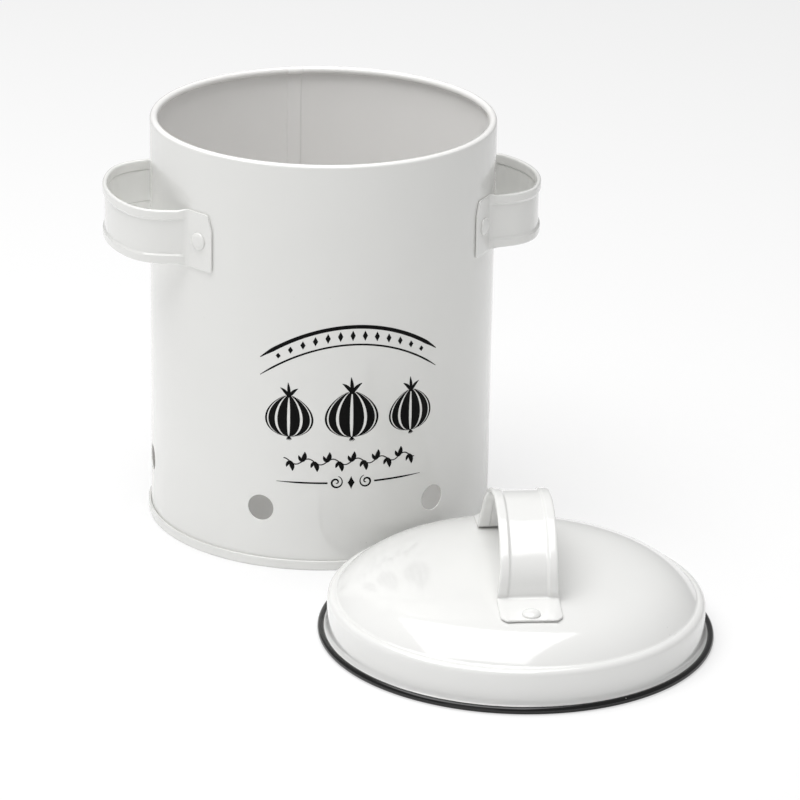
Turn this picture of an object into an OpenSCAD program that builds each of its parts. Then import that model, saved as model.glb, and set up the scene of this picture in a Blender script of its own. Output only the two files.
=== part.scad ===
// Round coated-steel bin for keeping onions or potatoes, with two side handles and vents.
// Its loose domed lid lies on the same surface, in front of the bin and to the right.
// The origin is the centre of the bin's foot, +Z is up and the front faces -Y.

/* [Bin body] */
// Outer diameter of the body wall, which the rolled rim is flush with
body_d = 170; // [150:1:200]
// Height of the rim above the surface
body_h = 206; // [195:1:260]
// Thickness of the coated sheet of body, base and lid
sheet_t = 0.6; // [0.5:0.1:0.8]
// Diameter of the tube that the rim is rolled into
rim_roll_d = 4; // [3:0.5:5]
// Width of the lock seam down the back
seam_w = 7; // [5:1:12]

/* [Base] */
// How far the bottom seam stands out from the body wall
base_proud = 1.4; // [1.2:0.1:2]
// Height of the bottom seam
base_h = 5; // [4.5:0.5:7]
// Height of the bottom sheet's underside above the surface
base_rise = 3.2; // [2.4:0.2:3.6]

/* [Vents] */
// Number of round vents, evenly spaced with two of them either side of the front
vent_count = 6; // [4:2:8]
// Diameter of a vent
vent_d = 13; // [8:0.5:16]
// Height of the vent centres
vent_z = 30.5; // [20:0.5:45]

/* [Handle strap] */
// Width over the hems of the strap that all three handles are bent from
strap_w = 27; // [22:0.2:28]
// Width of the strap's flat ends, where its edges aren't rolled
tab_w = 28.8; // [28:0.2:32]
// Thickness of the strap between its hems
strap_t = 1; // [0.8:0.1:1.4]
// Height of the rolled hem along each edge of the strap
hem_h = 5.2; // [4:0.2:6]
// Thickness of the rolled hem
hem_t = 2.3; // [1.8:0.1:2.8]
// How far the hem stands out from the strap's outer face
hem_proud = 1; // [0.6:0.1:1.2]
// Radius of the strap's shoulders, either side of the grip
corner_r = 22; // [18:1:24]
// Inward lean of the strap's legs, in degrees
leg_lean = 10; // [6:1:14]

/* [Side handles] */
// Height of the middle of the side handles
side_z = 160.5; // [120:0.5:165]
// Distance from the body wall to the middle of the grip
side_reach = 22.2; // [20:0.2:25]
// Angle from the handle's middle to where a tab leaves the wall
tab_start_a = 31; // [29:0.1:31.5]
// Angle from the handle's middle to the tip of a tab
tab_end_a = 40.9; // [40:0.1:43]
// Angle from the handle's middle to a rivet
rivet_a = 35.3; // [34:0.1:37]
// Turn of both handles from the line through the bin's sides, in degrees
side_turn = 0.9; // [-2:0.1:2]
// How far the right handle slopes down to its rear rivet, in degrees
right_tilt = 2.4; // [0:0.2:4]

/* [Rivets] */
// Diameter of a rivet's domed head
rivet_d = 8.6; // [7:0.2:10]
// Height of a rivet's domed head
rivet_h = 2; // [1.4:0.1:2.6]
// Diameter of a rivet's shank
shank_d = 4; // [3:0.2:5]

/* [Lid] */
// Outer diameter of the lid's upright wall
lid_d = 178; // [177:0.2:182]
// Outer diameter over the black ring on the lid's edge
lid_ring_d = 186.8; // [186:0.2:190]
// Diameter of the black ring's own tube
lid_tube_d = 3.4; // [3:0.1:3.8]
// Height of the middle of the lid's rounded shoulder
lid_shoulder_z = 16.3; // [15:0.1:20]
// Rise of the crown above the groove inside the shoulder
crown_rise = 14.8; // [13:0.2:17]
// Power of the crown's curve, where a higher one makes a flatter top
crown_power = 6.8; // [5:0.2:8]

/* [Lid handle] */
// Height of the middle of the lid's grip above the surface that the lid lies on
grip_z = 67.3; // [66:0.1:70]
// Distance from the lid's middle to the fold of a leg
fold_v = 44.8; // [43:0.1:46]
// Distance from the lid's middle to where a foot touches the crown
foot_v = 56; // [54:0.5:58]
// Distance from the lid's middle to the tip of a foot
foot_end_v = 63.5; // [62:0.5:66]
// Distance from the lid's middle to a rivet
lid_rivet_v = 58.2; // [56:0.1:59]
// Sideways lean of the lid's handle, in degrees
lid_lean = 2.8; // [0:0.2:4]

/* [Lid beside the bin] */
// Place of the lid's middle across the front of the bin
lid_x = 63.8; // [60:0.1:75]
// Place of the lid's middle in front of the bin's middle
lid_y = -169; // [-185:0.1:-169]
// Turn of the lid's handle from the line of the bin's front, in degrees
lid_turn = -6.4; // [-10:0.1:10]

/* [Hidden] */
$fn = 96;

// Play left between pieces that touch, so that no two solids share any space
fit = 0.02;
// Extra length of a cutting shape past the face that it cuts
past = 1;
// Overlap of a strap's stretches where they join, and how much slimmer each one is than the last
lap = 0.1;
slim_step = 0.02;
coat = [0.93, 0.93, 0.91];
lid_coat = [0.96, 0.96, 0.95];
black_coat = [0.1, 0.1, 0.1];

body_r = body_d / 2;
body_in_r = body_r - sheet_t;
roll_r = rim_roll_d / 2;
roll_c_r = body_r - roll_r;
roll_c_z = body_h - roll_r;
// Part of the rim's roll that is left open, in degrees below the horizontal
roll_gap_from = 285;
roll_gap_to = 350;

seam_out_r = body_r + base_proud;
seam_in_r = body_in_r - 1.2;
seam_corner_r = 0.9;
seam_slot_z = 1.5;

rivet_hole_d = shank_d + 0.2;
tail_d = 7;
tail_h = 0.9;
// How much lower the right handle's rear rivet is than its front one
right_drop = 2 * body_r * sin(rivet_a) * tan(right_tilt);

lid_r = lid_d / 2;
shoulder_r = 3.2;
shoulder_c_r = lid_r - shoulder_r;
// The groove is where the crown meets the shoulder, this far round its arc
groove_a = 104;
groove_r = shoulder_c_r + shoulder_r * cos(groove_a);
groove_z = lid_shoulder_z + shoulder_r * sin(groove_a);
tube_r = lid_tube_d / 2;
tube_c_r = lid_ring_d / 2 - tube_r;
// Concave fillet between the lid's wall and its flange, which ends inside the ring's tube
flange_r = tube_c_r + 0.2 - lid_r;
flange_c_z = tube_r + sheet_t + flange_r;

// Height of the crown's outer face at radius r
function crown_z(r) = groove_z + crown_rise * (1 - pow(r / groove_r, crown_power));
// Steepness of the crown at radius r
function crown_slope(r) = crown_rise * crown_power * pow(r / groove_r, crown_power - 1) / groove_r;
// Height of the crown's inner face, one sheet below the outer one along its normal
function crown_in_z(r) = crown_z(r) - sheet_t * sqrt(1 + pow(crown_slope(r), 2));
function polar(r, a) = [r * cos(a), r * sin(a)];

// Clipped corners of the straps' ends, each as a length along the strap and one across it
side_top_cut = [3, 8];
side_low_cut = [1, 1];
lid_foot_cut = [3.3, 2.9];
side_fold_r = 5;
side_leg = 8;
tab_mid_r = body_r + fit + strap_t / 2;
lid_fold_r = 2.5;
lid_leg = 4;

foot_a = atan(crown_slope(foot_v));
foot_z = crown_z(foot_v) + fit;
// Height of the foot's middle plane at distance v from the lid's middle
function foot_mid_z(v) = foot_z + (foot_v - v) * tan(foot_a) + strap_t / 2 / cos(foot_a);

// The middle line of half a strap, seen along its width. It starts at s with heading h0, turns
// outwards round a fold, runs up a straight leg, round a shoulder and along the grip to u_top.
function fold_c(s, h0, r) = s + r * [-sin(h0), cos(h0)];
function leg_start(s, h0, r) = fold_c(s, h0, r) + r * [-sin(leg_lean), -cos(leg_lean)];
function leg_end(s, h0, r, leg) = leg_start(s, h0, r) + leg * [cos(leg_lean), -sin(leg_lean)];
function corner_c(s, h0, r, leg) = leg_end(s, h0, r, leg) - corner_r * [sin(leg_lean), cos(leg_lean)];
// Angle that a lap takes up on an arc of radius r
function lap_a(r) = lap / r * 180 / PI;
// Radius of the grip's arc, which is centred on the middle line and tangent to the shoulders
function grip_r(c, u_top) =
    (pow(corner_r, 2) - pow(c.x - u_top, 2) - pow(c.y, 2)) / (2 * (c.x - u_top + corner_r));

module hem_section(slim) {
    square([hem_t - slim, hem_h - hem_t], center = true);
    for (s = [-1, 1])
        translate([0, s * (hem_h - hem_t) / 2])
            circle(d = hem_t - slim, $fn = 32);
}

// Cross-section of the strap, with +X as its outer side. Each stretch of a strap is a hair
// slimmer than the one before it and runs a short lap into it, which joins them into one solid.
module strap_section(hemmed, slim) {
    square([strap_t - slim, hemmed ? strap_w - hem_h : tab_w - slim], center = true);
    if (hemmed)
        for (s = [-1, 1])
            translate([strap_t / 2 + hem_proud - hem_t / 2, s * (strap_w - hem_h) / 2])
                hem_section(slim);
}

module strap_arc(c, r, from, to, hemmed, slim) {
    translate([c.x, c.y, 0])
        rotate([0, 0, from])
            rotate_extrude(angle = to - from)
                translate([r, 0])
                    strap_section(hemmed, slim);
}

module half_strap(s, h0, fold_r, leg, meet_a) {
    f = leg_start(s, h0, fold_r);
    c = corner_c(s, h0, fold_r, leg);
    strap_arc(c, corner_r, meet_a - lap_a(corner_r), 90 - leg_lean, true, slim_step);
    translate([f.x, f.y, 0])
        rotate([0, 0, -leg_lean])
            rotate([90, 0, 90])
                linear_extrude(leg + lap)
                    strap_section(true, 2 * slim_step);
    strap_arc(fold_c(s, h0, fold_r), fold_r, h0 - 90, lap_a(fold_r) - leg_lean - 90, false, 3 * slim_step);
}

module whole_strap(s, h0, fold_r, leg, u_top) {
    c = corner_c(s, h0, fold_r, leg);
    g_r = grip_r(c, u_top);
    meet_a = atan2(c.y, c.x - u_top + g_r);
    strap_arc([u_top - g_r, 0], g_r, -meet_a, meet_a, true, 0);
    for (m = [0, 1])
        mirror([0, m, 0])
            half_strap(s, h0, fold_r, leg, meet_a);
}

// Outline of the tip of a tab, with its two corners clipped, pointing along +X
module tab_tip(length, start, top_cut, low_cut) {
    polygon([[-start, -tab_w / 2], [length - low_cut.x, -tab_w / 2], [length, low_cut.y - tab_w / 2],
        [length, tab_w / 2 - top_cut.y], [length - top_cut.x, tab_w / 2], [-start, tab_w / 2]]);
}

// One flat tab that lies against the wall, from tab_start_a round to its clipped tip
module wall_tab() {
    tip_x = tab_mid_r * (tab_end_a - tab_start_a) * PI / 180;
    intersection() {
        strap_arc([0, 0], tab_mid_r, tab_start_a - lap_a(tab_mid_r), tab_end_a, false, 4 * slim_step);
        translate(concat(polar(tab_mid_r, tab_start_a), 0))
            rotate([0, 0, (tab_start_a + tab_end_a) / 2])
                rotate([90, 0, 90])
                    translate([0, 0, -tab_w / 2])
                        linear_extrude(tab_w)
                            tab_tip(tip_x, past, side_top_cut, side_low_cut);
    }
}

module side_handle() {
    start = polar(tab_mid_r, tab_start_a);
    difference() {
        union() {
            whole_strap(start, tab_start_a - 90, side_fold_r, side_leg, body_r + side_reach);
            for (m = [0, 1])
                mirror([0, m, 0])
                    wall_tab();
        }
        for (s = [-1, 1])
            rotate([0, 90, s * rivet_a])
                cylinder(h = body_d, d = rivet_hole_d);
    }
}

// Domed head whose flat side is on the XY plane
module rivet_head() {
    ball_r = (pow(rivet_d / 2, 2) + pow(rivet_h, 2)) / (2 * rivet_h);
    intersection() {
        translate([0, 0, rivet_h - ball_r])
            sphere(r = ball_r);
        translate([0, 0, -past])
            cylinder(h = rivet_h + 2 * past, d = rivet_d + past);
    }
}

// A rivet through a strap and the body wall, lying along +X
module wall_rivet() {
    strap_out_r = body_r + fit + strap_t;
    rotate([0, 90, 0]) {
        translate([0, 0, body_in_r - tail_h / 2])
            cylinder(h = strap_out_r - body_in_r + tail_h, d = shank_d);
    }
    difference() {
        translate([strap_out_r - 0.1, 0, 0])
            rotate([0, 90, 0])
                rivet_head();
        cylinder(h = rivet_d + past, r = strap_out_r + fit, center = true);
    }
    intersection() {
        translate([body_in_r - tail_h, 0, 0])
            rotate([0, 90, 0])
                cylinder(h = 2 * tail_h, d = tail_d);
        cylinder(h = rivet_d + past, r = body_in_r - fit, center = true);
    }
}

// Height of a side handle's rivet, where side is 0 on the right and end is 1 at the right handle's rear
function rivet_z(side, end) = side_z - (side == 0 && end > 0 ? right_drop : 0);

module side_rivet(side, end) {
    color(coat)
        translate([0, 0, rivet_z(side, end)])
            rotate([0, 0, side + side_turn + end * rivet_a])
                wall_rivet();
}

module rim_section() {
    difference() {
        circle(r = roll_r);
        circle(r = roll_r - sheet_t);
        polygon([[0, 0], 2 * roll_r * [cos(roll_gap_from), sin(roll_gap_from)],
            2 * roll_r * [cos(roll_gap_to), sin(roll_gap_to)]]);
        translate([roll_r - sheet_t - past, -rim_roll_d])
            square([sheet_t + 2 * past, rim_roll_d]);
    }
}

module body_shell() {
    color(coat)
        difference() {
            union() {
                translate([0, 0, seam_slot_z])
                    difference() {
                        cylinder(h = roll_c_z - seam_slot_z, r = body_r);
                        translate([0, 0, -past])
                            cylinder(h = roll_c_z + past, r = body_in_r);
                    }
                rotate_extrude()
                    translate([roll_c_r, roll_c_z])
                        rim_section();
                intersection() {
                    translate([0, 0, base_h])
                        difference() {
                            cylinder(h = roll_c_z - rim_roll_d - base_h, r = body_in_r + sheet_t / 2);
                            translate([0, 0, -past])
                                cylinder(h = body_h, r = body_in_r - sheet_t);
                        }
                    translate([-seam_w / 2, 0, 0])
                        cube([seam_w, body_r + past, body_h]);
                }
            }
            for (i = [0 : vent_count - 1])
                rotate([0, 0, (i + 0.5) * 360 / vent_count - 90])
                    translate([body_r - 5, 0, vent_z])
                        rotate([0, 90, 0])
                            cylinder(h = 10, d = vent_d);
            for (side = [0, 180], end = [-1, 1])
                rotate([0, 0, side + side_turn + end * rivet_a])
                    translate([body_r - 5, 0, rivet_z(side, end)])
                        rotate([0, 90, 0])
                            cylinder(h = 10, d = rivet_hole_d);
        }
}

module base_pan() {
    inner_w = body_in_r - fit - seam_in_r;
    outer_w = seam_out_r - body_r - fit;
    color(coat)
        rotate_extrude() {
            difference() {
                union() {
                    translate([seam_in_r, seam_corner_r])
                        square([seam_out_r - seam_in_r, base_h - outer_w / 2 - seam_corner_r]);
                    translate([seam_in_r + seam_corner_r, 0])
                        square([seam_out_r - seam_in_r - 2 * seam_corner_r, base_h / 2]);
                    for (r = [seam_in_r + seam_corner_r, seam_out_r - seam_corner_r])
                        translate([r, seam_corner_r])
                            circle(r = seam_corner_r, $fn = 32);
                    translate([seam_out_r - outer_w / 2, base_h - outer_w / 2])
                        circle(d = outer_w, $fn = 32);
                    translate([seam_in_r + inner_w / 2, base_h - outer_w / 2])
                        circle(d = inner_w, $fn = 32);
                }
                translate([body_in_r - fit, seam_slot_z - fit])
                    square([sheet_t + 2 * fit, base_h]);
            }
            translate([0, base_rise])
                square([seam_in_r + inner_w / 2, sheet_t]);
        }
}

module left_handle() {
    color(coat)
        translate([0, 0, side_z])
            rotate([0, 0, 180 + side_turn])
                side_handle();
}

// The right handle slopes with each of its points straight above or below where it would be if it
// were level, so that its tabs still lie against the round wall
module right_handle() {
    color(coat)
        translate([0, 0, side_z - right_drop / 2])
            rotate([0, 0, side_turn])
                multmatrix([[1, 0, 0, 0], [0, 1, 0, 0], [0, -tan(right_tilt), 1, 0], [0, 0, 0, 1]])
                    side_handle();
}

module place_lid() {
    translate([lid_x, lid_y, 0])
        rotate([0, 0, lid_turn])
            children();
}

// Places its children on a foot's middle plane at distance v, with +Z square to the foot
module on_foot(end, v) {
    rotate([0, 0, end < 0 ? 0 : 180])
        translate([0, -v, foot_mid_z(v)])
            rotate([foot_a, 0, 0])
                children();
}

module lid_shell() {
    crown_steps = 30;
    arc_steps = 12;
    crown_rs = [for (i = [0 : crown_steps]) groove_r * pow(i / crown_steps, 0.6)];
    turns = [for (i = [0 : arc_steps]) i / arc_steps];
    shoulder_c = [shoulder_c_r, lid_shoulder_z];
    flange_c = [lid_r + flange_r, flange_c_z];
    outer = concat(
        [for (r = crown_rs) [r, crown_z(r)]],
        [for (t = turns) if (t > 0) shoulder_c + polar(shoulder_r, groove_a * (1 - t))],
        [for (t = turns) flange_c + polar(flange_r, 180 + 90 * t)]);
    inner = concat(
        [for (r = crown_rs) [r, crown_in_z(r)]],
        [for (t = turns) shoulder_c + polar(shoulder_r - sheet_t, groove_a * (1 - t))],
        [for (t = turns) flange_c + polar(flange_r + sheet_t, 180 + 90 * t)]);
    inner_back = [for (i = [len(inner) - 1 : -1 : 0]) inner[i]];
    color(lid_coat)
        place_lid()
            difference() {
                rotate_extrude()
                    polygon(concat(outer, inner_back));
                for (end = [-1, 1])
                    on_foot(end, lid_rivet_v)
                        cylinder(h = 10, d = rivet_hole_d, center = true);
            }
}

module lid_edge_ring() {
    color(black_coat)
        place_lid()
            rotate_extrude()
                difference() {
                    translate([tube_c_r, tube_r])
                        circle(r = tube_r, $fn = 48);
                    translate([lid_r, flange_c_z - flange_r - sheet_t - fit])
                        square([flange_r + fit, sheet_t + 2 * fit]);
                    translate([lid_r + flange_r, flange_c_z])
                        difference() {
                            circle(r = flange_r + sheet_t + fit);
                            circle(r = flange_r - fit);
                            translate([0, -lid_ring_d])
                                square(2 * lid_ring_d);
                        }
                }
}

// The handle leans with each of its points straight beside where it would be if it stood upright, and
// not at all at the height of its rivets
module lid_handle() {
    start = [foot_mid_z(fold_v), fold_v];
    foot_l = (foot_end_v - fold_v) / cos(foot_a);
    lean = tan(lid_lean);
    leaned = [[1, 0, lean, -lean * foot_mid_z(lid_rivet_v)], [0, 1, 0, 0], [0, 0, 1, 0], [0, 0, 0, 1]];
    color(lid_coat)
        place_lid()
            multmatrix(leaned)
                difference() {
                    union() {
                        rotate([0, -90, 0])
                            whole_strap(start, foot_a - 90, lid_fold_r, lid_leg, grip_z);
                        for (end = [-1, 1])
                            on_foot(end, fold_v)
                                rotate([0, 0, -90])
                                    linear_extrude(strap_t - 4 * slim_step, center = true)
                                        tab_tip(foot_l, lap, lid_foot_cut, lid_foot_cut);
                    }
                    for (end = [-1, 1])
                        on_foot(end, lid_rivet_v)
                            cylinder(h = 10, d = rivet_hole_d, center = true);
                }
}

// A rivet through a foot of the lid's handle and the crown under it
module lid_rivet(end) {
    gap_below = foot_mid_z(lid_rivet_v) - crown_z(lid_rivet_v);
    tail_top = -gap_below - sheet_t - 0.35;
    color(lid_coat)
        place_lid()
            on_foot(end, lid_rivet_v) {
                translate([0, 0, strap_t / 2 + fit])
                    difference() {
                        translate([0, 0, -fit])
                            rivet_head();
                        translate([0, 0, -past])
                            cylinder(h = past, d = 2 * rivet_d);
                    }
                translate([0, 0, tail_top - tail_h / 2])
                    cylinder(h = strap_t / 2 - tail_top + tail_h / 2 + fit * 2, d = shank_d);
                translate([0, 0, tail_top - tail_h])
                    cylinder(h = tail_h, d = tail_d);
            }
}

body_shell();
base_pan();
left_handle();
right_handle();
side_rivet(180, 1);  // left_front_rivet
side_rivet(180, -1);  // left_rear_rivet
side_rivet(0, -1);  // right_front_rivet
side_rivet(0, 1);  // right_rear_rivet
lid_shell();
lid_edge_ring();
lid_handle();
lid_rivet(-1);  // lid_front_rivet
lid_rivet(1);  // lid_rear_rivet
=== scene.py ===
import bmesh
import bpy
import numpy as np
from mathutils import Matrix, Vector


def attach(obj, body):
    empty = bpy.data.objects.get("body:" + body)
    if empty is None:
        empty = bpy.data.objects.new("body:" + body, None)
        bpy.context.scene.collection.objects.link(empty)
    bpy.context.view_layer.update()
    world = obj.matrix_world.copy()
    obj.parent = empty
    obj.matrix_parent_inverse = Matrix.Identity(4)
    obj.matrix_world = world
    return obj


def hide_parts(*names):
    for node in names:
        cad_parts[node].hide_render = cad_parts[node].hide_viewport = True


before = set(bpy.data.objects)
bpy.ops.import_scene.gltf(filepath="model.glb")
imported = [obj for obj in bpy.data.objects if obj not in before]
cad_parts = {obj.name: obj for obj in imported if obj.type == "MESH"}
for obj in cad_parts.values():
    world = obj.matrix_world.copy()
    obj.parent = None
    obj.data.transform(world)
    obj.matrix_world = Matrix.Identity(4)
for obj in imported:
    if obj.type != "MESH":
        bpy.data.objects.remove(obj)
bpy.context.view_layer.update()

# Lengths below are in millimetres and angles in degrees. Meshes are written in metres.
mm = 0.001

# Camera, in the bin's own frame: the heading is from +Y towards +X
shot = {
    "place": (-337.0, -1854.2, 777.4),
    "heading": 11.514,
    "down": 20.929,
    "roll": -1.039,
    "lens": 180.72,
}


def makeCamera(s):
    heading, down, roll = np.radians([s["heading"], s["down"], s["roll"]])
    ahead = np.array([np.sin(heading) * np.cos(down), np.cos(heading) * np.cos(down), -np.sin(down)])
    right = np.array([np.cos(heading), -np.sin(heading), 0])
    below = np.cross(ahead, right)
    across = np.cos(roll) * right + np.sin(roll) * below
    up = np.sin(roll) * right - np.cos(roll) * below
    turn = Matrix(np.array([across, up, -ahead]).T.tolist()).to_4x4()
    data = bpy.data.cameras.new("camera")
    data.lens = s["lens"]
    data.sensor_width = 36
    data.clip_end = 50
    camera = bpy.data.objects.new("camera", data)
    camera.matrix_world = Matrix.Translation(Vector(s["place"]) * mm) @ turn
    bpy.context.scene.collection.objects.link(camera)
    bpy.context.scene.camera = camera


makeCamera(shot)
print("camera placed")


# Finishes

class Wire:
    # An output socket. Arithmetic on it adds Math nodes to its own tree.
    def __init__(self, finish, socket):
        self.finish = finish
        self.socket = socket

    def maths(self, operation, *values):
        return self.finish.node("ShaderNodeMath", {"operation": operation}, values)

    def __add__(self, other):
        return self.maths("ADD", self, other)

    def __radd__(self, other):
        return self.maths("ADD", other, self)

    def __sub__(self, other):
        return self.maths("SUBTRACT", self, other)

    def __rsub__(self, other):
        return self.maths("SUBTRACT", other, self)

    def __mul__(self, other):
        return self.maths("MULTIPLY", self, other)

    def above(self, edge, blur):
        # 0 below edge, 1 above edge + blur, and a straight ramp between them
        ramp = {"interpolation_type": "LINEAR"}
        return self.finish.node("ShaderNodeMapRange", ramp, (self, edge, edge + blur, 0.0, 1.0))


class Finish:
    # A material whose nodes are added one call at a time
    def __init__(self, name):
        self.material = bpy.data.materials.new(name)
        self.material.use_nodes = True
        self.tree = self.material.node_tree
        self.tree.nodes.clear()

    def node(self, kind, settings=None, values=(), output=0, **named):
        # values are by place, in a list or a dictionary, and named ones by the socket's name
        node = self.tree.nodes.new(kind)
        for key, value in (settings or {}).items():
            setattr(node, key, value)
        placed = values if isinstance(values, dict) else dict(enumerate(values))
        for key, value in [*placed.items(), *named.items()]:
            socket = node.inputs[key.replace("_", " ") if isinstance(key, str) else key]
            if isinstance(value, Wire):
                self.tree.links.new(value.socket, socket)
            else:
                socket.default_value = value
        return Wire(self, node.outputs[output]) if node.outputs else node

    def place(self):
        return self.node("ShaderNodeTexCoord", output="Object")

    def noise(self, scale, detail):
        return self.node("ShaderNodeTexNoise", Vector=self.place(), Scale=scale, Detail=detail)

    def cells(self, scale):
        # Distance to the nearest of a scatter of points
        return self.node("ShaderNodeTexVoronoi", Vector=self.place(), Scale=scale)

    def mixColour(self, share, first, second):
        # The Mix node keeps its colour sockets at 6 and 7, and its colour result at 2
        return self.node("ShaderNodeMix", {"data_type": "RGBA"}, {0: share, 6: first, 7: second}, output=2)

    def surface(self, **named):
        shader = self.node("ShaderNodeBsdfPrincipled", **named)
        self.node("ShaderNodeOutputMaterial", Surface=shader)
        return self.material


def coatedSteel(name, colour, gloss, inner=None):
    # Glossy baked coat: faint clouds of tone, a fine ripple, and a few pinhead specks where it was chipped.
    # inner paints another colour on what lies within a radius of the bin's axis and above a height, as light or shade.
    coat = Finish(name)
    clouds = coat.noise(22.0, 3.0)
    ripple = coat.noise(320.0, 1.0)
    swell = coat.noise(60.0, 1.0)
    pits = 1.0 - coat.cells(260.0).above(0.06, 0.05)
    rare = coat.noise(45.0, 0.0).above(0.76, 0.01)
    speck = pits * rare
    lighter = tuple(min(1.0, c * 1.012) for c in colour) + (1.0,)
    darker = tuple(c * 0.975 for c in colour) + (1.0,)
    tone = coat.mixColour(clouds, darker, lighter)
    tone = coat.mixColour(speck * 0.3, tone, (0.25, 0.24, 0.22, 1.0))
    if inner:
        x, y, z = [coat.node("ShaderNodeSeparateXYZ", values=[coat.place()], output=i) for i in range(3)]
        within = 1.0 - (x * x + y * y).above((inner["radius"] * mm) ** 2, 1e-6)
        tone = coat.mixColour(within * z.above(inner["height"] * mm, 0.0002), tone, (*inner["colour"], 1.0))
    relief = ripple * 0.35 + swell - speck * 2.0
    bumps = coat.node("ShaderNodeBump", Height=relief, Strength=0.25, Distance=0.00006)
    rough = gloss + clouds * 0.05 + speck * 0.3
    return coat.surface(Base_Color=tone, Roughness=rough, Normal=bumps, Coat_Weight=0.5, Coat_Roughness=0.03, IOR=1.5)


def blackCoat(name):
    # Black gloss with a few worn white nicks
    coat = Finish(name)
    nicks = 1.0 - coat.cells(330.0).above(0.12, 0.06)
    rare = coat.noise(70.0, 0.0).above(0.74, 0.01)
    speck = nicks * rare
    clouds = coat.noise(90.0, 2.0)
    tone = coat.mixColour(speck, (0.003, 0.003, 0.003, 1.0), (0.62, 0.61, 0.58, 1.0))
    bumps = coat.node("ShaderNodeBump", Height=clouds - speck, Strength=0.2, Distance=0.00005)
    return coat.surface(Base_Color=tone, Roughness=0.04 + clouds * 0.04 + speck * 0.4, Normal=bumps)


def printInk(name):
    # Black ink, a little uneven, with next to no shine
    ink = Finish(name)
    clouds = ink.noise(900.0, 3.0)
    tone = ink.mixColour(clouds, (0.001, 0.001, 0.001, 1.0), (0.008, 0.008, 0.008, 1.0))
    return ink.surface(Base_Color=tone, Roughness=0.3 + clouds * 0.1, Specular_IOR_Level=0.06)


# The inside of the wall is painted a little lighter than its outside, as painted light falling in at the open top
# Painted light: a lighter tone on the inside of the wall
paintedLightWall = {"radius": 84.7, "height": 1.0, "colour": (0.95, 0.94, 0.925)}
# The bin's floor inside is painted grey, as painted shade for the shade seen through the vents
paintedShadeFloor = {"radius": 83.1, "height": 3.4, "colour": (0.42, 0.42, 0.41)}
# The lid's white is painted lighter than the bin's, as painted light on its crown, which faces the lamp above
binWhite, lidLitWhite = (0.84, 0.84, 0.82), (0.88, 0.88, 0.865)
binGloss, lidGloss = 0.12, 0.1
binCoat = coatedSteel("binCoat", binWhite, binGloss, paintedLightWall)
strapCoat = coatedSteel("strapCoat", binWhite, binGloss)
lidCoat = coatedSteel("lidCoat", lidLitWhite, lidGloss)
baseCoat = coatedSteel("baseCoat", binWhite, binGloss, paintedShadeFloor)
edgeCoat = blackCoat("edgeCoat")
ink = printInk("ink")
print("finishes made")


# Shapes: every surface is a grid of points, P(row, column)

def arc(cx, cy, r, start, end, steps):
    # Points on a circle about (cx, cy), from one angle to another
    a = np.radians(np.linspace(start, end, steps))
    return np.stack([cx + r * np.cos(a), cy + r * np.sin(a)], -1)


def smooth(x):
    # Rises from 0 to 1 as x does, level at both ends: x squared times (3 - 2x)
    x = np.clip(x, 0, 1)
    return x * x * (3 - 2 * x)


def around(r, z, fromFront):
    # A point at radius r and height z, at an angle from the front (-Y) towards the right (+X)
    a = np.radians(fromFront)
    r, z, a = np.broadcast_arrays(r, z, a)
    return np.stack([r * np.sin(a), -r * np.cos(a), z], -1)


def turned(profile, steps=360):
    # A profile of (radius, height) points turned about the Z axis: radius along the angle, height as it is.
    # The profile runs anticlockwise, so up the outside, and its faces then point outwards.
    angles = np.linspace(0, 360, steps, endpoint=False)
    return around(profile[:, None, 0], profile[:, None, 1], angles[None, :])


def faces(rows, columns, wrapRows, wrapColumns):
    # Four corners per face, between each row and column and the next
    u = np.arange(rows if wrapRows else rows - 1)
    v = np.arange(columns if wrapColumns else columns - 1)
    u, v = [a.ravel() for a in np.meshgrid(u, v, indexing="ij")]
    nextU, nextV = (u + 1) % rows, (v + 1) % columns
    return np.stack([u * columns + v, u * columns + nextV, nextU * columns + nextV, nextU * columns + v], -1)


def makePiece(name, grids, finish, body, nodes=(), weld=0.0004):
    # grids holds (points, wrapRows, wrapColumns). Points closer than weld are made one.
    points, quads, first = [], [], 0
    for grid, wrapRows, wrapColumns in grids:
        rows, columns = grid.shape[:2]
        quads.append(faces(rows, columns, wrapRows, wrapColumns) + first)
        points.append(grid.reshape(-1, 3))
        first += rows * columns
    mesh = bpy.data.meshes.new(name)
    mesh.from_pydata(np.vstack(points) * mm, [], np.vstack(quads))
    work = bmesh.new()
    work.from_mesh(mesh)
    bmesh.ops.remove_doubles(work, verts=work.verts, dist=weld * mm)
    work.to_mesh(mesh)
    work.free()
    mesh.shade_smooth()
    mesh.materials.append(finish)
    piece = bpy.data.objects.new(name, mesh)
    bpy.context.scene.collection.objects.link(piece)
    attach(piece, body)
    if nodes:
        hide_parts(*nodes)
    return piece


# Body of the bin

bin = {
    "outerR": 85.0,
    "sheet": 0.6,
    "height": 206.0,
    "rollR": 1.95,
    "rollStop": 285,
    "foot": 1.5,
    "ventR": 6.5,
    "ventZ": 30.5,
    "vents": 6,
    "bandLow": 15.0,
    "bandHigh": 46.0,
    "seamHalf": 2.4,
    "seamClear": 4.0,
    "seamProud": 0.6,
    "seamGroove": 0.25,
    "seamIn": 0.3,
    "seamSlope": 0.5,
    "grooveHalf": 0.35,
    "rimSwell": 0.15,
    "underRoll": 6.0,
    "sectorPoints": 57,
    "seamPoints": 41,
    "sideRows": 17,
    "upRows": 22,
    "rollRows": 30,
    "ventRows": 15,
    "ventCrowding": 1.5,
}


def seamBand(fromFront):
    # 1 on the lock seam down the back, 0 off it, with a short slope at each side that starts inside the seam's edge
    away = np.abs(fromFront - 180)
    return 1 - smooth((away - bin["seamHalf"] + bin["seamIn"]) / bin["seamSlope"])


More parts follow.
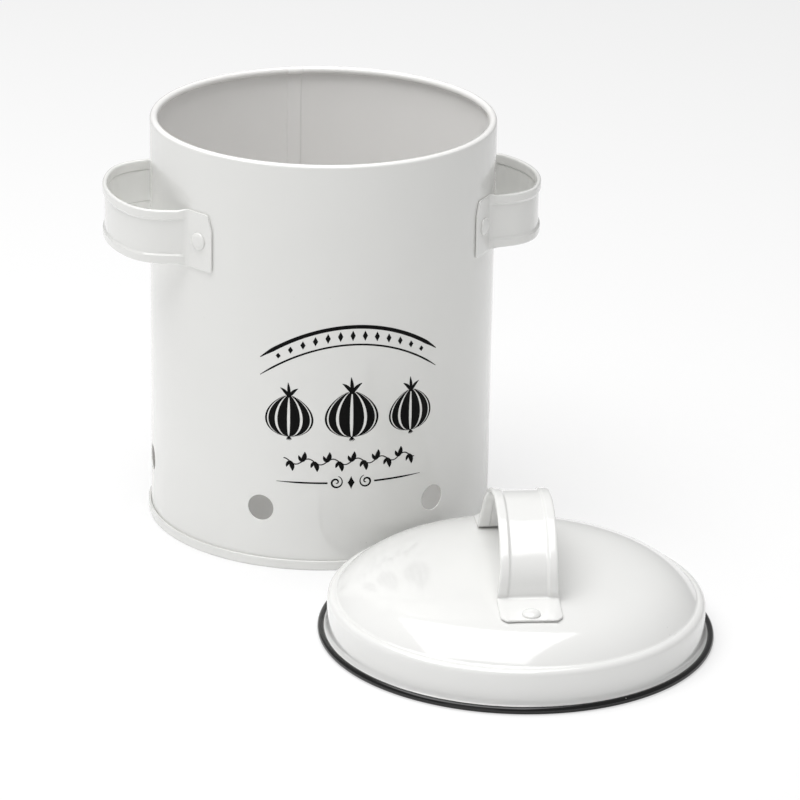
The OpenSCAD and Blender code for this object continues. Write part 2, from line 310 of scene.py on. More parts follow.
def outerWall(fromFront):
    # Outer radius of the wall: round, with a fine groove along both sides of the seam
    away = np.abs(np.abs(fromFront - 180) - bin["seamHalf"])
    return bin["outerR"] - bin["seamGroove"] * (1 - smooth(away / bin["grooveHalf"]))


def innerWall(fromFront):
    # Inner radius of the wall: the seam's folded layers stand inwards
    return bin["outerR"] - bin["sheet"] - bin["seamProud"] * seamBand(fromFront)


def sectorAngles(index):
    # Angles across one vent's share of the wall, which stops short of the seam down the back
    span = 360 / bin["vents"]
    low, high = index * span, (index + 1) * span
    low += bin["seamClear"] * (low == 180)
    high -= bin["seamClear"] * (high == 180)
    return np.linspace(low, high, bin["sectorPoints"])


def seamAngles():
    # Angles across the strip with the seam, from the vent's share on one side to that on the other
    return 180 + np.linspace(-bin["seamClear"], bin["seamClear"], bin["seamPoints"])


def seamStrip():
    # The strip with the seam at the height of the vents: its outside from the bottom up, its inside from the top
    # down
    angles = seamAngles()
    z = np.linspace(bin["bandLow"], bin["bandHigh"], bin["sideRows"])[:, None]
    return [around(outerWall(angles), z, angles), around(innerWall(angles), z[::-1], angles)]


def rimRows(fromFront):
    # Wall above the vents, over the rolled rim and down inside: radius and height for each row and angle.
    # The roll is an arc about its own centre from 0 to its stop, and the same arc back one sheet further in. It is
    # a little thicker over the seam.
    low = bin["bandHigh"]
    innerTop = bin["height"] - bin["rollR"] - bin["underRoll"]
    bulge = bin["rollR"] + bin["rimSwell"] * seamBand(fromFront)
    centreR, centreZ = outerWall(fromFront) - bulge, bin["height"] - bulge
    up = np.linspace(0, 1, bin["upRows"])[:, None]
    outside = np.radians(np.linspace(0, bin["rollStop"], bin["rollRows"]))[:, None]
    inside = outside[::-1]
    thin = bulge - bin["sheet"]
    down = up[::-1]
    r = [outerWall(fromFront) + 0 * up, centreR + bulge * np.cos(outside), centreR + thin * np.cos(inside),
         innerWall(fromFront) + 0 * down]
    z = [low + (centreZ - low) * up, centreZ + bulge * np.sin(outside), centreZ + thin * np.sin(inside),
         low + (innerTop - low) * down + 0 * fromFront]
    return np.vstack(r), np.vstack(z)


def footRows(fromFront):
    # Wall below the vents: down the inside, round the lower edge and up the outside
    low, high = bin["foot"], bin["bandLow"]
    down = np.linspace(1, 0, 5)[:, None]
    r = np.vstack([innerWall(fromFront) + 0 * down, outerWall(fromFront) + 0 * down])
    z = np.vstack([low + (high - low) * down + 0 * fromFront, low + (high - low) * down[::-1] + 0 * fromFront])
    return r, z


def ventPatch(index):
    # The wall round one vent. From the sector's edge the rows close in on the hole as a straight mix of the
    # edge and the hole's circle, closer together near the hole, go over a half-round lip through the sheet and
    # back out inside.
    angles = sectorAngles(index)
    middle = (index + 0.5) * 360 / bin["vents"]
    low, high = bin["bandLow"], bin["bandHigh"]
    side = np.linspace(low, high, bin["sideRows"])
    across, upright = len(angles) - 1, bin["sideRows"] - 1
    edgeAngle = np.concatenate([angles[:-1], np.full(upright, angles[-1]), angles[:0:-1], np.full(upright, angles[0])])
    edgeZ = np.concatenate([np.full(across, low), side[:-1], np.full(across, high), side[:0:-1]])
    lip = bin["sheet"] / 2
    offset = np.radians(edgeAngle - middle)
    direction = np.arctan2(edgeZ - bin["ventZ"], bin["outerR"] * np.sin(offset))
    share = np.linspace(1, 0, bin["ventRows"])[:-1, None] ** bin["ventCrowding"]
    beta = np.radians(np.linspace(0, 180, 9))[:, None]

    def flat(share, radius):
        # Rows on the wall's outside or inside: share 1 is the sector's edge and 0 the hole's
        holeX, holeZ = (bin["ventR"] + lip) * np.cos(direction), (bin["ventR"] + lip) * np.sin(direction)
        x = share * radius * np.sin(offset) + (1 - share) * holeX
        z = share * edgeZ + (1 - share) * (bin["ventZ"] + holeZ)
        return radius + 0 * x, middle + np.degrees(np.arcsin(x / radius)), z

    rho = bin["ventR"] + lip * (1 - np.sin(beta))
    lipR = bin["outerR"] - lip + lip * np.cos(beta)
    through = (lipR + 0 * direction,
               middle + np.degrees(np.arcsin(rho * np.cos(direction) / lipR)),
               bin["ventZ"] + rho * np.sin(direction))
    outside = flat(share, bin["outerR"])
    inside = flat(share[::-1], bin["outerR"] - bin["sheet"])
    r, angle, z = [np.vstack(rows) for rows in zip(outside, through, inside)]
    return around(r, z, angle)


def roundNormals(piece):
    # Points on the plain wall, away from the seam, take the cylinder's own direction, so that the patches round the
    # vents don't show
    mesh = piece.data
    spots = np.empty(len(mesh.vertices) * 3)
    mesh.vertices.foreach_get("co", spots)
    spots = spots.reshape(-1, 3) / mm
    facing = np.array([n.vector for n in mesh.vertex_normals])
    r = np.hypot(spots[:, 0], spots[:, 1])
    pastFoot, pastSeam, near = 0.1, 0.6, 1e-3
    level = (spots[:, 2] > bin["foot"] + pastFoot) & (spots[:, 2] < bin["height"] - bin["underRoll"])
    fromSeam = np.abs(np.degrees(np.arctan2(spots[:, 1], spots[:, 0])) - 90)
    plain = level & (fromSeam > bin["seamHalf"] + pastSeam)
    radial = np.stack([spots[:, 0] / r, spots[:, 1] / r, 0 * r], -1)
    outer = plain & (np.abs(r - bin["outerR"]) < near)
    inner = plain & (np.abs(r - bin["outerR"] + bin["sheet"]) < near)
    facing[outer] = radial[outer]
    facing[inner] = -radial[inner]
    mesh.normals_split_custom_set_from_vertices(facing)


def makeBody():
    # The rim and the foot go all the way round, and share the angles of the vents' patches and the seam's strip
    sectors = [sectorAngles(i)[:-1] for i in range(bin["vents"])]
    angles = np.sort(np.concatenate([*sectors, seamAngles()[:-1]]))
    rimR, rimZ = rimRows(angles)
    footR, footZ = footRows(angles)
    grids = [(around(rimR, rimZ, angles), False, True), (around(footR, footZ, angles), False, True)]
    grids += [(ventPatch(i), False, True) for i in range(bin["vents"])]
    grids += [(side, False, False) for side in seamStrip()]
    piece = makePiece("binBody", grids, binCoat, "bin", ["body_shell"])
    roundNormals(piece)


makeBody()
print("body made")


# Base, with the double seam that stands out round the foot

base = {
    "outerR": 86.4,
    "innerR": 83.2,
    "height": 5.0,
    "corner": 0.9,
    "rise": 3.2,
    "gap": 0.04,
    "waist": 0.12,
    "waistLow": 2.1,
    "waistHigh": 3.3,
    "edgeR": 0.5,
    "hollowR": 0.7,
    "underRings": (0, 40, 80),
    "topRings": (60, 30, 0),
}


def makeBase():
    # The profile runs along the underside from the middle, up the outside of the seam, down and up the slot that
    # holds the wall, and back along the top. The seam is a little narrower at its waist.
    wallOut, wallIn = bin["outerR"] + base["gap"], bin["outerR"] - bin["sheet"] - base["gap"]
    outerLip = (base["outerR"] - wallOut) / 2
    innerLip = (wallIn - base["innerR"]) / 2
    c, edgeR, hollowR = base["corner"], base["edgeR"], base["hollowR"]
    waistR = base["outerR"] - base["waist"]
    top = base["rise"] + bin["sheet"]
    profile = np.vstack([
        [[r, base["rise"]] for r in base["underRings"]],
        arc(base["innerR"] - edgeR, base["rise"] - edgeR, edgeR, 90, 0, 5),
        arc(base["innerR"] + c, c, c, 180, 270, 8),
        arc(base["outerR"] - c, c, c, 270, 360, 8),
        [[waistR, base["waistLow"]], [waistR, base["waistHigh"]]],
        arc(base["outerR"] - outerLip, base["height"] - outerLip, outerLip, 0, 180, 14),
        [[wallOut, bin["foot"] - base["gap"]], [wallIn, bin["foot"] - base["gap"]]],
        arc(wallIn - innerLip, base["height"] - innerLip, innerLip, 0, 180, 12),
        arc(base["innerR"] - hollowR, top + hollowR, hollowR, 0, -90, 5),
        [[r, top] for r in base["topRings"]],
    ])
    makePiece("binBase", [(turned(profile), False, True)], baseCoat, "bin", ["base_pan"])


makeBase()
print("base made")


# Handle straps: a section carried along a bent path

strap = {
    "halfWidth": 13.5,
    "tabHalf": 14.4,
    "sheet": 1.0,
    "hemWidth": 5.2,
    "hemThick": 2.3,
    "hemProud": 1.0,
    "hemRise": 1.6,
    "hemDrop": 0.1,
    "crease": 0.35,
    "creaseHalf": 0.12,
    "creaseIn": 0.06,
    "hemStart": 0.5,
    "tipRound": 0.3,
    "liftLength": 7.0,
}


def bentPath(start, heading, bends):
    # Points and headings along stretches that are each (length, turn): the heading turns evenly over the length.
    # From a stretch's start, the chord to share t of it is t * length * sinc(t * turn / 2) at the mean heading.
    spots, headings, lengths = [np.array([start])], [np.array([heading])], [np.zeros(1)]
    for length, turn in bends:
        steps = int(np.ceil(max(length / 1.6, abs(turn) / 3, 1)))
        t = np.linspace(0, 1, steps + 1)[1:]
        mean = np.radians(headings[-1][-1] + turn * t / 2)
        chord = length * t * np.sinc(np.radians(turn) * t / 2 / np.pi)
        spots.append(spots[-1][-1] + chord[:, None] * np.stack([np.cos(mean), np.sin(mean)], -1))
        headings.append(headings[-1][-1] + turn * t)
        lengths.append(lengths[-1][-1] + length * t)
    return np.vstack(spots), np.concatenate(headings), np.concatenate(lengths)


def strapSection(hem, upHalf, lowHalf, thick):
    # Offsets across the strap (along its width, and outwards) for each place along it. The hem rises from the
    # web in a smooth step outside and a sharp one inside, and its edge is half an ellipse. The two halves of the
    # section are then stretched to the strap's reach on either side of its middle.
    s = strap
    web = s["halfWidth"] - s["hemWidth"]
    edgeR = s["sheet"] / 2 + (s["hemThick"] - s["sheet"]) / 2 * hem
    middle = hem * (s["sheet"] / 2 + s["hemProud"] - s["hemThick"] / 2)
    across = np.concatenate([np.linspace(0, web - 0.6, 7), np.linspace(web - 0.3, web + 1.6, 9),
                             np.linspace(web + 2, s["halfWidth"] - s["hemThick"] / 2, 5)])
    inward = np.concatenate([np.linspace(0, web - 0.5, 6), web + np.array([-0.3, -0.12, 0.0, 0.06, 0.12, 0.5]),
                             np.linspace(web + 1.2, s["halfWidth"] - s["hemThick"] / 2, 4)])
    rise = smooth((across - web + 0.2) / s["hemRise"])
    crease = np.exp(-((inward - web + s["creaseIn"]) / s["creaseHalf"]) ** 2)
    drop = smooth((inward - web) / s["hemDrop"])
    outerN = s["sheet"] / 2 + hem * (s["hemProud"] * rise)
    innerN = -s["sheet"] / 2 + hem * (s["crease"] * crease - (s["hemThick"] - s["hemProud"] - s["sheet"]) * drop)
    cap = np.radians(np.linspace(90, -90, 11))[None, 1:-1]
    capW = s["halfWidth"] - edgeR * (1 - np.cos(cap))
    capN = middle + edgeR * np.sin(cap)
    reach = 0 * hem + 1
    upper = np.hstack([across * reach, capW, inward[::-1] * reach])
    upperN = np.hstack([outerN, capN, innerN[:, ::-1]])
    w = np.hstack([upper, -upper[:, -2:0:-1]])
    n = np.hstack([upperN, upperN[:, -2:0:-1]])
    return w * np.where(w > 0, upHalf, lowHalf) / s["halfWidth"], n * thick


def cornered(full, fromTip, cut):
    # Reach of a strap on one side, where cut is how far its clipped corner goes along the strap and across it.
    # The edge is a straight line with a little roundness: 1 - t to a power just over 1.
    return full - cut[1] * (1 - np.clip(fromTip / cut[0], 0, 1)) ** 1.25


def strapGrid(spots, headings, lengths, tab, h):
    # Point = path + offset along the path's left-hand normal, with the strap's width along the third axis.
    # The half path is mirrored about its second coordinate to give the whole strap. Its tips are rounded over and
    # lifted a little. Past the flat tab, the hem rises and the width goes from the tab's to the grip's.
    spots = np.vstack([spots, (spots * [1, -1])[-2::-1]])
    headings = np.concatenate([headings, (-180 - headings)[-2::-1]])
    fromTip = np.concatenate([lengths, lengths[-2::-1]])[:, None]
    s = strap
    hemFrom = tab + s["hemStart"]
    hem = smooth((fromTip - hemFrom) / h["hemLength"])
    full = s["tabHalf"] + (s["halfWidth"] - s["tabHalf"]) * smooth((fromTip - hemFrom) / h["flare"])
    thick = np.sqrt(1 - (1 - fromTip / s["tipRound"]).clip(0, 1) ** 2)
    w, n = strapSection(hem, cornered(full, fromTip, h["topCut"]), cornered(full, fromTip, h["lowCut"]), thick)
    n = n + h["tipLift"] * (1 - np.clip(fromTip / s["liftLength"], 0, 1)) ** 2
    a = np.radians(headings)[:, None]
    return np.stack([spots[:, :1] - n * np.sin(a), spots[:, 1:] + n * np.cos(a), w], -1)


sideHandle = {
    "z": 160.5,
    "turn": 0.9,
    "rightTilt": 2.4,
    "wallGap": 0.04,
    "reach": 22.2,
    "tabStart": 31.0,
    "tabEnd": 40.9,
    "rivetAt": 35.3,
    "topCut": (3.0, 8.0),
    "lowCut": (1.0, 1.0),
    "foldR": 5.0,
    "leg": 8.0,
    "lean": 10.0,
    "shoulderR": 22.0,
    "tipLift": 0.26,
    "hemLength": 5.0,
    "flare": 7.0,
    "headSink": 0.08,
    "tailSink": 0.06,
}


def gripBends(start, heading, h, top):
    # Stretches from a tab to the middle of the grip. The grip's arc is centred on the strap's middle line and
    # touches the shoulder's arc, which fixes its radius.
    outward = np.radians([heading, -h["lean"]])
    centre = np.array(start) + h["foldR"] * np.array([-np.sin(outward[0]), np.cos(outward[0])])
    legStart = centre + h["foldR"] * np.array([np.sin(outward[1]), -np.cos(outward[1])])
    legEnd = legStart + h["leg"] * np.array([np.cos(outward[1]), np.sin(outward[1])])
    x, y = legEnd + h["shoulderR"] * np.array([np.sin(outward[1]), -np.cos(outward[1])])
    gripR = (h["shoulderR"] ** 2 - (x - top) ** 2 - y ** 2) / (2 * (x - top + h["shoulderR"]))
    meet = np.degrees(np.arctan2(y, x - top + gripR))
    turnFold = -h["lean"] - heading
    turnShoulder = -(90 - h["lean"] - meet)
    return [(h["foldR"] * np.radians(turnFold), turnFold), (h["leg"], 0),
            (h["shoulderR"] * np.radians(-turnShoulder), turnShoulder), (gripR * np.radians(meet), -meet)]


def tipStretch(length, turn):
    # The last of a tab: short stretches at its very tip, where its edge is rounded over
    cuts = np.array([0, 0.02, 0.07, 0.15, 0.3, 0.5, 0.8, 1.2, 1.7, 2.2, 2.7, length])
    return [(step, turn * step / length) for step in np.diff(cuts)]


def rivetDrop(side, sign):
    # How far below the others a side handle's rivet is: only the right handle slopes, from front to rear
    angle, tilt = np.radians([sideHandle["rivetAt"], sideHandle["rightTilt"]])
    return 0 if side == "left" or sign < 0 else 2 * bin["outerR"] * np.sin(angle) * np.tan(tilt)


def makeSideHandle(side, turn):
    # The tabs follow the wall. The right handle slopes about its middle, which lies lower, so that its front rivet
    # is as high as the left handle's.
    h = sideHandle
    r = bin["outerR"] + h["wallGap"] + strap["sheet"] / 2
    tip, edge = np.radians([h["tabEnd"], h["tabStart"]])
    tabTurn = h["tabEnd"] - h["tabStart"]
    tab = r * np.radians(tabTurn)
    start = r * np.array([np.cos(edge), np.sin(edge)])
    grip = gripBends(start, h["tabStart"] - 90, h, bin["outerR"] + h["reach"])
    bends = tipStretch(tab, -tabTurn) + grip
    spots, headings, lengths = bentPath(r * np.array([np.cos(tip), np.sin(tip)]), h["tabEnd"] - 90, bends)
    grid = strapGrid(spots, headings, lengths, tab, h)
    if side == "right":
        grid[..., 2] -= np.tan(np.radians(h["rightTilt"])) * grid[..., 1]
    a = np.radians(turn + h["turn"])
    spin = np.array([[np.cos(a), np.sin(a), 0], [-np.sin(a), np.cos(a), 0], [0, 0, 1]])
    middle = [0, 0, h["z"] - rivetDrop(side, 1) / 2]
    makePiece(side + "Strap", [(grid @ spin + middle, False, True)], strapCoat, "bin", [side + "_handle"])


makeSideHandle("right", 0)
makeSideHandle("left", 180)
print("side handles made")


# Rivets

rivet = {
    "headR": 4.3,
    "head": 2.0,
    "headRim": 0.25,
    "headTuck": 0.15,
    "shankR": 2.0,
    "tailR": 3.5,
    "tail": 0.9,
    "tailRim": 0.2,
    "tailTuck": 0.1,
}


def rivetGrid(grip):
    # A domed head whose flat side is at height 0, a shank through a thickness of grip, and a low inner head.
    # Each dome is a quarter ellipse from its rim to its middle. Its rim has a small height, and slants in to the
    # flat side by its tuck.
    h = rivet
    headArc = arc(0, 0, 1, 0, 90, 16) * [h["headR"], h["head"] - h["headRim"]] + [0, h["headRim"]]
    tailArc = arc(0, 0, 1, 270, 360, 10) * [h["tailR"], h["tail"] - h["tailRim"]] - [0, grip + h["tailRim"]]
    shank = [[h["tailR"] - h["tailTuck"], -grip], [h["shankR"], -grip], [h["shankR"], 0],
             [h["headR"] - h["headTuck"], 0]]
    return turned(np.vstack([tailArc, shank, headArc]), 48)


def laid(grid, origin, axis, up):
    # The grid's own Z along axis, its Y as near to up as it can be, and its origin at a place
    axis = np.array(axis, float) / np.linalg.norm(axis)
    side = np.cross(up, axis)
    side = side / np.linalg.norm(side)
    return grid @ np.array([side, np.cross(axis, side), axis]) + origin


def makeSideRivets():
    # Both heads sink a little into the round surfaces that they sit on
    h = sideHandle
    headR = bin["outerR"] + h["wallGap"] + strap["sheet"] - h["headSink"]
    grip = headR - bin["outerR"] + bin["sheet"] - h["tailSink"]
    for side, middle, way in (("left", 180, -1), ("right", 0, 1)):
        for end, sign in (("front", -1), ("rear", 1)):
            a = np.radians(middle + h["turn"] + sign * way * h["rivetAt"])
            out = np.array([np.cos(a), np.sin(a), 0])
            spot = out * headR + [0, 0, h["z"] - rivetDrop(side, sign)]
            grid = laid(rivetGrid(grip), spot, out, [0, 0, 1])
            name = f"{side}_{end}_rivet"
            makePiece(side + end.title() + "Rivet", [(grid, False, True)], strapCoat, "bin", [name])


makeSideRivets()
print("side rivets made")


# Lid, which lies beside the bin

lid = {
    "x": 63.8,
    "y": -169.0,
    "turn": -6.4,
    "wallR": 89.0,
    "sheet": 0.6,
    "shoulderR": 3.2,
    "shoulderZ": 16.3,
    "grooveAngle": 104,
    "crownRise": 14.8,
    "crownPower": 6.8,
    "ringR": 93.4,
    "ringTubeR": 1.7,
    "flangeIn": 0.2,
    "wallRows": (10, 14),
}
grooveA = np.radians(lid["grooveAngle"])
shoulderC = lid["wallR"] - lid["shoulderR"]
grooveR = shoulderC + lid["shoulderR"] * np.cos(grooveA)
grooveZ = lid["shoulderZ"] + lid["shoulderR"] * np.sin(grooveA)


def crownZ(r):
    # Height of the crown: the groove's height plus the rise times 1 - (r / groove radius) to a power
    return grooveZ + lid["crownRise"] * (1 - (r / grooveR) ** lid["crownPower"])


def crownSlope(r):
    # How fast the crown falls away at radius r
    return lid["crownRise"] * lid["crownPower"] * (r / grooveR) ** (lid["crownPower"] - 1) / grooveR


def onLid(grid):
    # From the lid's own frame, with its middle at the origin, to its place beside the bin
    a = np.radians(lid["turn"])
    spin = np.array([[np.cos(a), np.sin(a), 0], [-np.sin(a), np.cos(a), 0], [0, 0, 1]])
    return grid @ spin + [lid["x"], lid["y"], 0]


def makeLidShell():
    # The profile runs out under the crown, down inside the wall, round the flange's edge inside the ring, up the
    # outside of the wall and back over the crown
    tubeC = lid["ringR"] - lid["ringTubeR"]
    flangeR = tubeC + lid["flangeIn"] - lid["wallR"]
    flangeC = (lid["wallR"] + flangeR, lid["ringTubeR"] + lid["sheet"] + flangeR)
    r = grooveR * np.linspace(0, 1, 60) ** 0.55
    inner = crownZ(r) - lid["sheet"] * np.sqrt(1 + crownSlope(r) ** 2)
    thin = lid["shoulderR"] - lid["sheet"]
    profile = np.vstack([
        np.stack([r, inner], -1),
        arc(shoulderC, lid["shoulderZ"], thin, lid["grooveAngle"], 0, 12),
        arc(*flangeC, flangeR + lid["sheet"], 180, 270, 12),
        arc(*flangeC, flangeR, 270, 180, 12),
        [[lid["wallR"], z] for z in lid["wallRows"]],
        arc(shoulderC, lid["shoulderZ"], lid["shoulderR"], 0, lid["grooveAngle"], 18),
        np.stack([r, crownZ(r)], -1)[-2::-1],
    ])
    makePiece("lidShell", [(onLid(turned(profile)), False, True)], lidCoat, "lid", ["lid_shell"])


def makeLidRing():
    # A tube round the flange's edge
    profile = arc(lid["ringR"] - lid["ringTubeR"], lid["ringTubeR"], lid["ringTubeR"], 0, 360, 41)[:-1]
    makePiece("lidRing", [(onLid(turned(profile)), True, True)], edgeCoat, "lid", ["lid_edge_ring"])


lidHandle = {
    "top": 67.3,
    "fold": 44.8,
    "touch": 56.0,
    "footEnd": 63.5,
    "rivetV": 58.2,
    "topCut": (3.3, 2.9),
    "lowCut": (3.3, 2.9),
    "foldR": 2.5,
    "leg": 4.0,
    "lean": 10.0,
    "shoulderR": 22.0,
    "gap": 0.03,
    "headSink": 0.06,
    "slack": 0.45,
    "tipLift": 0.1,
    "hemLength": 4.0,
    "flare": 14.0,
    "sideLean": 2.8,
}


def footLine(v):
    # Height of the foot's middle plane: it touches the crown at one radius and keeps the crown's slope there
    h = lidHandle
    slope = crownSlope(h["touch"])
    return crownZ(h["touch"]) + h["gap"] + (h["touch"] - v) * slope + strap["sheet"] / 2 * np.hypot(1, slope)


def makeLidHandle():
    h = lidHandle
    slant = np.degrees(np.arctan(crownSlope(h["touch"])))
    foot = (h["footEnd"] - h["fold"]) / np.cos(np.radians(slant))
    grip = gripBends((footLine(h["fold"]), h["fold"]), slant - 90, h, h["top"])
    bends = tipStretch(foot, 0) + grip
    spots, headings, lengths = bentPath((footLine(h["footEnd"]), h["footEnd"]), slant - 90, bends)
    grid = strapGrid(spots, headings, lengths, foot, h)
    leanedX = np.tan(np.radians(h["sideLean"])) * (grid[..., 0] - footLine(h["rivetV"])) - grid[..., 2]
    upright = np.stack([leanedX, grid[..., 1], grid[..., 0]], -1)
    makePiece("lidStrap", [(onLid(upright), False, True)], lidCoat, "lid", ["lid_handle"])


def makeLidRivets():
    # The grip has some slack, for the inner head to clear the crown's curve
    h = lidHandle
    slope = crownSlope(h["touch"])
    for end, sign in (("front", -1), ("rear", 1)):
        out = np.array([0, sign * slope, 1]) / np.hypot(1, slope)
        spot = np.array([0, sign * h["rivetV"], footLine(h["rivetV"])]) + out * (strap["sheet"] / 2 - h["headSink"])
        grid = laid(rivetGrid(strap["sheet"] + lid["sheet"] + h["slack"]), spot, out, [0, 1, 0])
        makePiece("lid" + end.title() + "Rivet", [(onLid(grid), False, True)], lidCoat, "lid", [f"lid_{end}_rivet"])


makeLidShell()
makeLidRing()
makeLidHandle()
makeLidRivets()
print("lid made")


# Printed label: an arched band, bulbs, a vine and rules, in black on the front of the wall

label = {
    "r": 85.05,
    "archZ": 104.0,
    "archRise": 17.0,
    "archHalf": 45.0,
    "archBand": 4.5,
    "archTaper": 6.0,
    "diamonds": 13,
    "diamondReach": 36.0,
    "diamondTall": 2.6,
    "diamondShrink": 0.0009,
    "diamondHalf": 1.25,
    "bulbZ": 69.0,
    "bulbHigh": 24.0,
    "bulbHalf": 13.2,
    "bulbStep": 30.5,
    "sideBulbs": 0.9,
    "vineZ": 56.5,
    "vineHalf": 33.0,
    "vineWave": 12.0,
    "vineSwing": 1.5,
    "leafReach": 30.0,
    "ruleZ": 45.5,
    "ruleStart": 11.5,
    "ruleHalf": 36.5,
    "curlX": 7.4,
    "curlR": 3.1,
    "ornamentHigh": 3.4,
    "ornamentHalf": 1.7,
}

# Stripes of a bulb, from left to right, as shares of its half width before they are rounded by a sine
stripes = [(-1, -0.74), (-0.66, -0.4), (-0.32, -0.05), (0.03, 0.3), (0.38, 0.66), (0.74, 1)]
# Shoots at the top of a bulb, each (heading, curl, length), and the headings of the roots below it
shoots = [(90, 8, 8.6), (112, 40, 7.4), (68, -40, 7.4)]
roots = [235, 252, 270, 288, 305]


def printed(flat):
    # Wraps a drawing of (across, height) points round the wall: the angle is the distance across over the radius
    return around(label["r"], flat[..., 1], np.degrees(flat[..., 0] / label["r"]))


def stroke(line, halfWidth):
    # A line with width: each point moved to both sides, square to the line's own direction
    along = np.gradient(line, axis=0)
    along = along / np.linalg.norm(along, axis=1)[:, None]
    side = np.stack([-along[:, 1], along[:, 0]], -1)
    halfWidth = np.broadcast_to(halfWidth, len(line))[:, None]
    return np.stack([line + side * halfWidth, line, line - side * halfWidth], 1)


def blade(x, z, length, lean, curl, half):
    # A tapering curved leaf: the heading turns by curl along it, and the width is a half sine from base to tip
    spots, _, lengths = bentPath((x, z), lean, [(length, curl)])
    return stroke(spots, half * np.sin(np.pi * (0.12 + 0.86 * lengths / length)) + 0.05)


def archLine(x, lift):
    # A shallow arch, highest in the middle and falling with the square of the distance from it
    return np.stack([x, label["archZ"] + lift + label["archRise"] * (1 - (x / label["archHalf"]) ** 2)], -1)


def drawArch():
    # Two lines that thin out at their ends, with a row of diamonds between them
    half, band = label["archHalf"], label["archBand"]
    x = np.linspace(-half, half, 61)
    ends = np.clip((half - np.abs(x)) / label["archTaper"], 0, 1)
    parts = [stroke(archLine(x, band), 0.2 + 0.75 * ends), stroke(archLine(x, -band), 0.15 + 0.3 * ends)]
    t = np.linspace(-1, 1, 7)
    for place in np.linspace(-label["diamondReach"], label["diamondReach"], label["diamonds"]):
        centre = archLine(np.array([place]), 0)[0]
        tall = label["diamondTall"] - label["diamondShrink"] * place ** 2
        line = np.stack([0 * t, tall * t], -1) + centre
        parts.append(stroke(line, label["diamondHalf"] * (1 - np.abs(t)) + 0.02))
    return parts


def drawBulb(x, size):
    # Half width at share t of the height: t to one power times 1 - t to another. Stripes follow the same curve,
    # as the ribs of the skin do.
    t = np.linspace(0.004, 0.97, 34)
    curve = t ** 0.5 * (1 - t) ** 0.72
    half = size * label["bulbHalf"] * curve / curve.max()
    high = size * label["bulbHigh"]
    z = label["bulbZ"] + high * t
    parts = []
    for low, top in stripes:
        share = np.sin(np.linspace(low, top, 4) * np.pi / 2)
        parts.append(np.stack([x + half[:, None] * share, z[:, None] + 0 * share], -1))
    neck = label["bulbZ"] + high * 0.93
    for lean, curl, length in shoots:
        parts.append(blade(x, neck, length * size, lean, curl, 0.85 * size))
    for lean in roots:
        parts.append(blade(x, label["bulbZ"] + 0.4, 2.6 * size, lean, 10, 0.22))
    return parts


def vineHeight(x):
    return label["vineZ"] + label["vineSwing"] * np.sin(2 * np.pi * x / label["vineWave"])


def drawVine():
    # A wavy stem, with a large and a small leaf at each place in turn below and above it
    x = np.linspace(-label["vineHalf"], label["vineHalf"], 91)
    parts = [stroke(np.stack([x, vineHeight(x)], -1), 0.28)]
    step = label["vineWave"] / 2
    for i, place in enumerate(np.arange(-label["leafReach"], label["leafReach"] + 1, step)):
        up = 1 if i % 2 else -1
        parts.append(blade(place, vineHeight(place), 5.4, 52 * up, 46 * up, 1.15))
        parts.append(blade(place, vineHeight(place), 3.6, 132 * up, -30 * up, 0.75))
    return parts


def drawRules():
    # On each side a rule that thins out and a curl at its inner end, and a pointed ornament in the middle
    x = np.linspace(label["ruleStart"], label["ruleHalf"], 20)
    taper = 0.34 * (1 - smooth((x - 24) / 14)) + 0.1
    turn = np.linspace(0, 1, 40)
    a = np.radians(-70 + 520 * turn)
    r = label["curlR"] * (1 - turn) ** 0.8 + 0.25
    parts = []
    for side in (-1, 1):
        line = np.stack([side * x, label["ruleZ"] + 0 * x], -1)
        parts.append(stroke(line[::side], taper[::side]))
        curl = np.stack([side * (label["curlX"] - r * np.cos(a)), label["ruleZ"] + 0.3 - r * np.sin(a)], -1)
        parts.append(stroke(curl[::side], 0.18 + 0.3 * np.sin(np.pi * turn)[::side]))
    t = np.linspace(-1, 1, 9)
    line = np.stack([0 * t, label["ruleZ"] + label["ornamentHigh"] * t], -1)
    parts.append(stroke(line, label["ornamentHalf"] * (1 - np.abs(t)) ** 1.3 + 0.02))
    return parts


def makeLabel():
    step, small = label["bulbStep"], label["sideBulbs"]
    drawing = drawArch() + drawVine() + drawRules()
    for x, size in ((-step, small), (0, 1.0), (step, small)):
        drawing += drawBulb(x, size)
    grids = [(printed(part), False, False) for part in drawing]
    makePiece("labelPrint", grids, ink, "bin", weld=0.0001)


makeLabel()
print("label made")


# Studio

studio = {
    "floorHalf": 6000,
    "floorTone": 0.95,
    "floorDrop": 0.05,
    "paperGlow": 0.6,
    "world": 0.44,
    "key": 24.0,
    "keyPlace": (-370, -120, 1500),
    "keyTurn": -24.5,
    "keySize": 1500,
    "front": 1.5,
    "frontPlace": (-1100, -1700, 700),
    "frontAhead": (1100, 1600, -600),
    "frontSize": 1000,
}


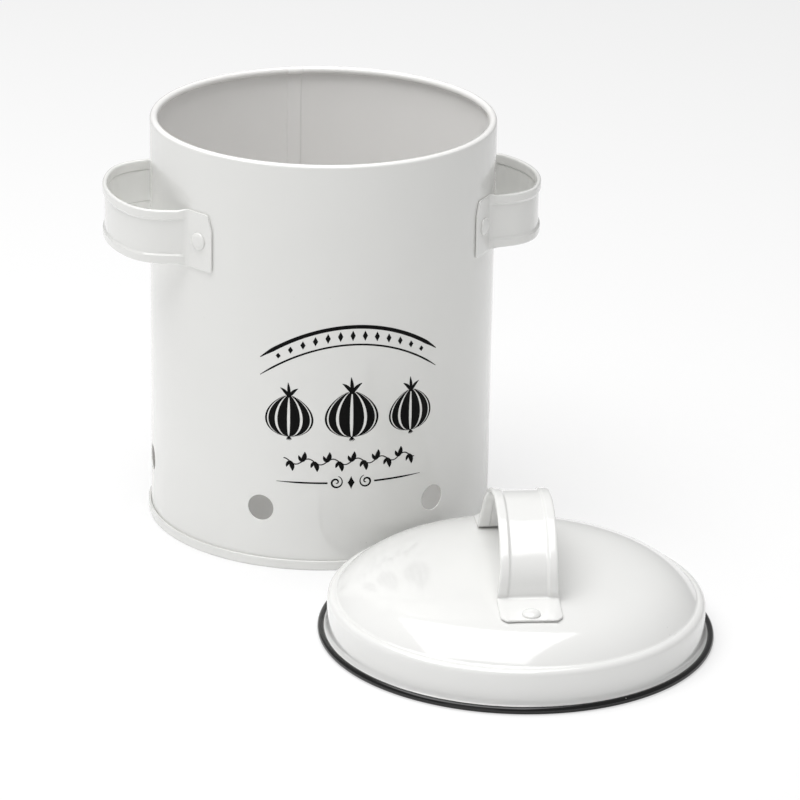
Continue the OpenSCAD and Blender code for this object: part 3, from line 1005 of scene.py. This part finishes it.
def makeFloor():
    # Pale paper just under the pieces. To the camera it glows in part, so that it comes out as white as paper does
    # in the photograph, and shadows still show on it.
    half = studio["floorHalf"]
    line = np.linspace(-half, half, 3)
    x, y = np.meshgrid(line, line, indexing="xy")
    mesh = bpy.data.meshes.new("floor")
    spots = np.stack([x, y, 0 * x - studio["floorDrop"]], -1).reshape(-1, 3) * mm
    mesh.from_pydata(spots, [], faces(3, 3, False, False)[:, ::-1])
    paper = Finish("paper")
    tone = studio["floorTone"]
    lit = paper.node("ShaderNodeBsdfDiffuse", Color=(tone, tone, tone, 1.0))
    plain = paper.node("ShaderNodeEmission", Color=(1.0, 1.0, 1.0, 1.0), Strength=1.0)
    seen = paper.node("ShaderNodeLightPath", output="Is Camera Ray")
    shader = paper.node("ShaderNodeMixShader", None, (seen * studio["paperGlow"], lit, plain))
    paper.node("ShaderNodeOutputMaterial", Surface=shader)
    mesh.materials.append(paper.material)
    floor = bpy.data.objects.new("floor", mesh)
    bpy.context.scene.collection.objects.link(floor)


def makeWorld():
    # Even soft light on the pieces, and plain white behind them
    world = bpy.data.worlds.new("studioWorld")
    bpy.context.scene.world = world
    world.use_nodes = True
    tree = world.node_tree
    tree.nodes.clear()
    path = tree.nodes.new("ShaderNodeLightPath")
    soft = tree.nodes.new("ShaderNodeBackground")
    soft.inputs["Strength"].default_value = studio["world"]
    white = tree.nodes.new("ShaderNodeBackground")
    white.inputs["Color"].default_value = (1, 1, 1, 1)
    mix = tree.nodes.new("ShaderNodeMixShader")
    out = tree.nodes.new("ShaderNodeOutputWorld")
    tree.links.new(path.outputs["Is Camera Ray"], mix.inputs[0])
    tree.links.new(soft.outputs[0], mix.inputs[1])
    tree.links.new(white.outputs[0], mix.inputs[2])
    tree.links.new(mix.outputs[0], out.inputs["Surface"])


def makeLamp(name, place, ahead, turn, size, watts):
    # A square lamp: ahead is where it faces, and turn is about its own axis
    data = bpy.data.lights.new(name, "AREA")
    data.shape = "SQUARE"
    data.size = size * mm
    data.energy = watts
    lamp = bpy.data.objects.new(name, data)
    aim = Vector(ahead).to_track_quat("-Z", "Y").to_matrix() @ Matrix.Rotation(np.radians(turn), 3, "Z")
    lamp.rotation_euler = aim.to_euler()
    lamp.location = Vector(place) * mm
    bpy.context.scene.collection.objects.link(lamp)


makeFloor()
makeWorld()
makeLamp("keyBox", studio["keyPlace"], (0, 0, -1), studio["keyTurn"], studio["keySize"], studio["key"])
makeLamp("frontBox", studio["frontPlace"], studio["frontAhead"], 0, studio["frontSize"], studio["front"])
bpy.context.scene.view_settings.view_transform = "Standard"
print("studio made")
